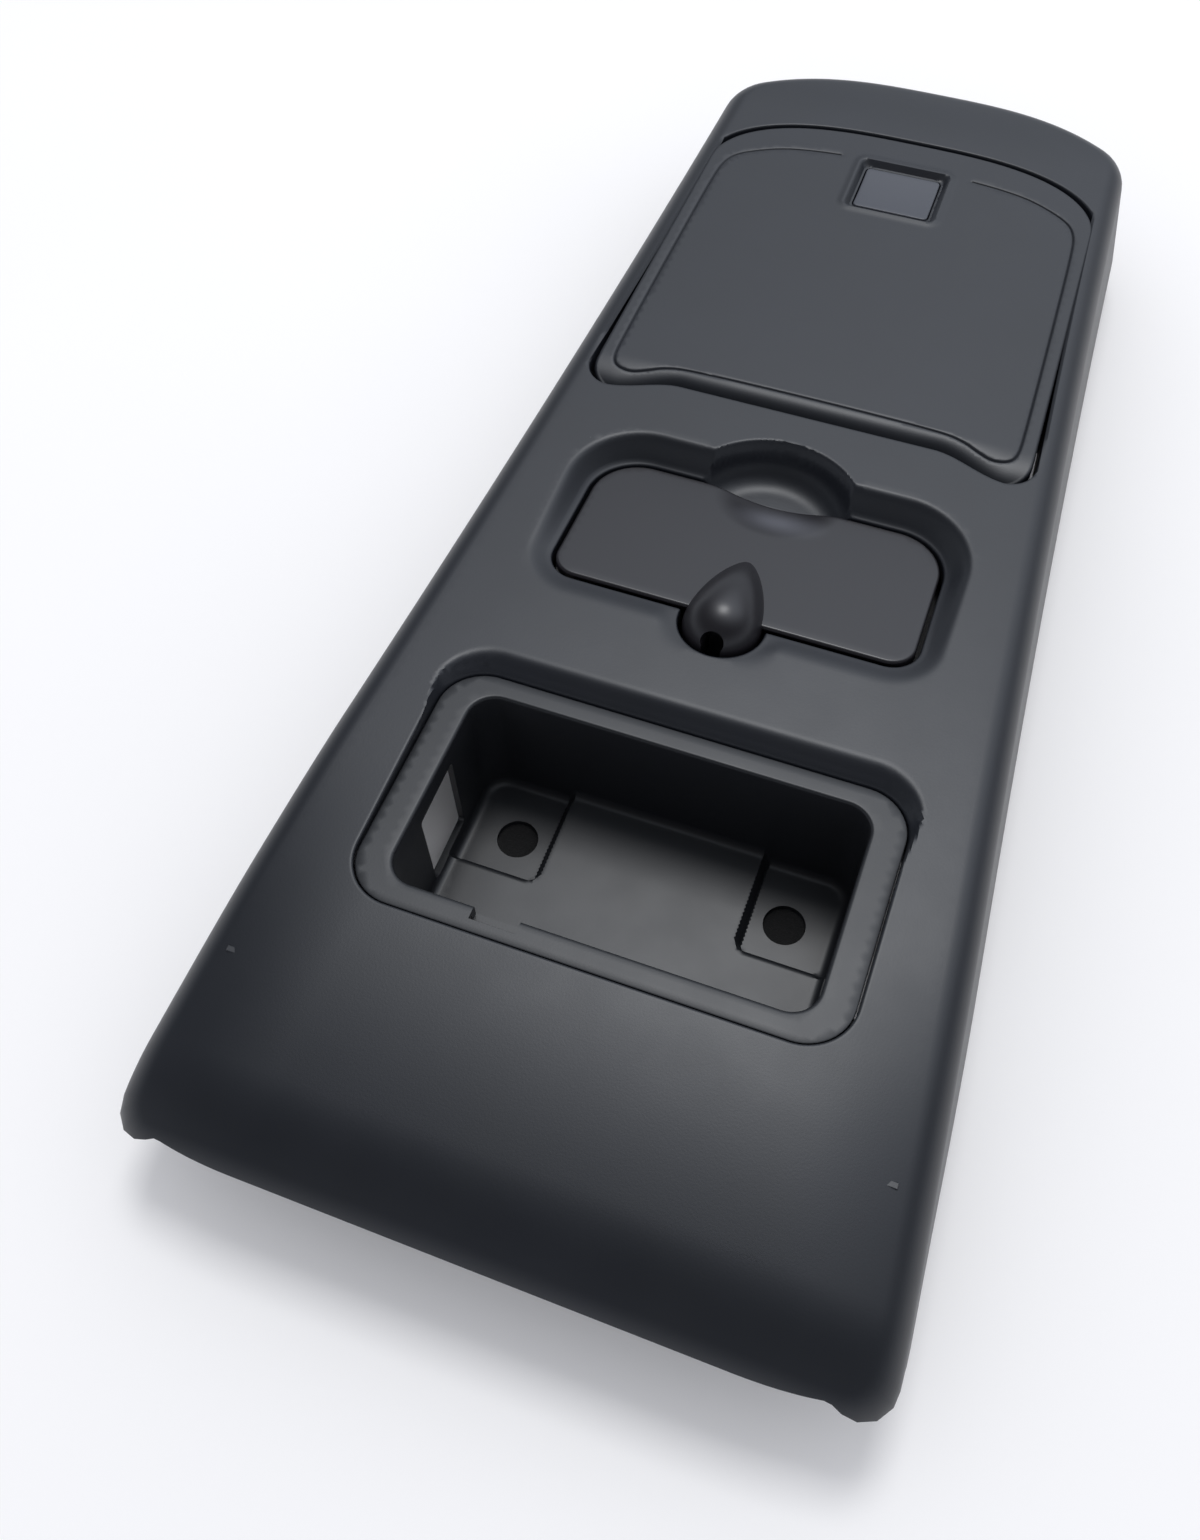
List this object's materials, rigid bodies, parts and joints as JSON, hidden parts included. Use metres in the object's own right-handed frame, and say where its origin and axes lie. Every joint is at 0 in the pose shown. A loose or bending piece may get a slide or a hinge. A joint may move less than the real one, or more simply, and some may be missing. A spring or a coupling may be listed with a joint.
{
  "type": "overhead console",
  "caption": "Tapered overhead console for a vehicle roof with a latched bin door, a fold-down observation mirror and an empty lamp pocket.",
  "frame": {"origin": "middle of the box around the console, at the flat backs of the bin and the lamp pocket that it rests on when it lies face up", "axes": "+Z out of the visible face, +Y from the wide end towards the narrow end, +X to the right seen from above with the narrow end away"},
  "size_m": [0.2378, 0.5423, 0.0689],
  "materials": {
    "housing": "fine-grained satin charcoal moulding",
    "pocket": "satin charcoal moulding",
    "inner_black": "plain black moulding",
    "felt": "black needle felt",
    "zinc_steel": "zinc-plated pressing",
    "spring_steel": "blued spring steel",
    "rubber": "soft moulded rubber",
    "button": "satin grey moulding",
    "mirror_back": "smooth satin warm black moulding",
    "mirror": "convex silvered glass"
  },
  "bodies": {
    "housing": {"console_shell": "housing", "lamp_pocket": "pocket", "bin_housing": "inner_black", "bin_mat": "felt", "latch_striker": "zinc_steel", "mirror_case": "inner_black", "mirror_bracket": "inner_black", "friction_washers": "spring_steel", "retaining_clips": "spring_steel", "pocket_screws": "zinc_steel", "bin_screws": "zinc_steel", "case_screws": "zinc_steel", "striker_screws": "zinc_steel", "bracket_screws": "zinc_steel", "bump_stops": "rubber", "door_hinge_pins": "zinc_steel", "door_springs": "spring_steel"},
    "bin_door": {"door_panel": "housing", "door_liner": "inner_black", "liner_screws": "zinc_steel", "spring_seat": "inner_black", "button_spring": "spring_steel", "bolt_spring": "spring_steel"},
    "button": {"release_button": "button"},
    "bolt": {"latch_bolt": "inner_black"},
    "mirror": {"mirror_cover": "mirror_back", "mirror_glass": "mirror", "mirror_frame": "inner_black", "mirror_pin": "zinc_steel"}
  },
  "joints": [
    {"name": "door_hinge", "type": "hinge", "parent": "housing", "child": "bin_door", "pos_m": [0, 0.0595, 0.052], "axis": [1, 0, 0], "range_deg": [0, 78]},
    {"name": "button_press", "type": "slide", "parent": "bin_door", "child": "button", "axis": [0, 0, -1], "range_m": [0, 0.0025], "stiffness_N_per_m": 400, "springref_m": -0.002, "deforming": ["button_spring"]},
    {"name": "bolt_slide", "type": "slide", "parent": "bin_door", "child": "bolt", "axis": [0, -1, 0], "range_m": [0, 0.004], "deforming": ["bolt_spring"]},
    {"name": "mirror_hinge", "type": "hinge", "parent": "housing", "child": "mirror", "pos_m": [0, -0.048, 0.0556], "axis": [1, 0, 0], "range_deg": [0, 75]}
  ],
  "couplings": [
    {"joint": "bolt_slide", "follows": "button_press", "ratio": 1.6}
  ]
}
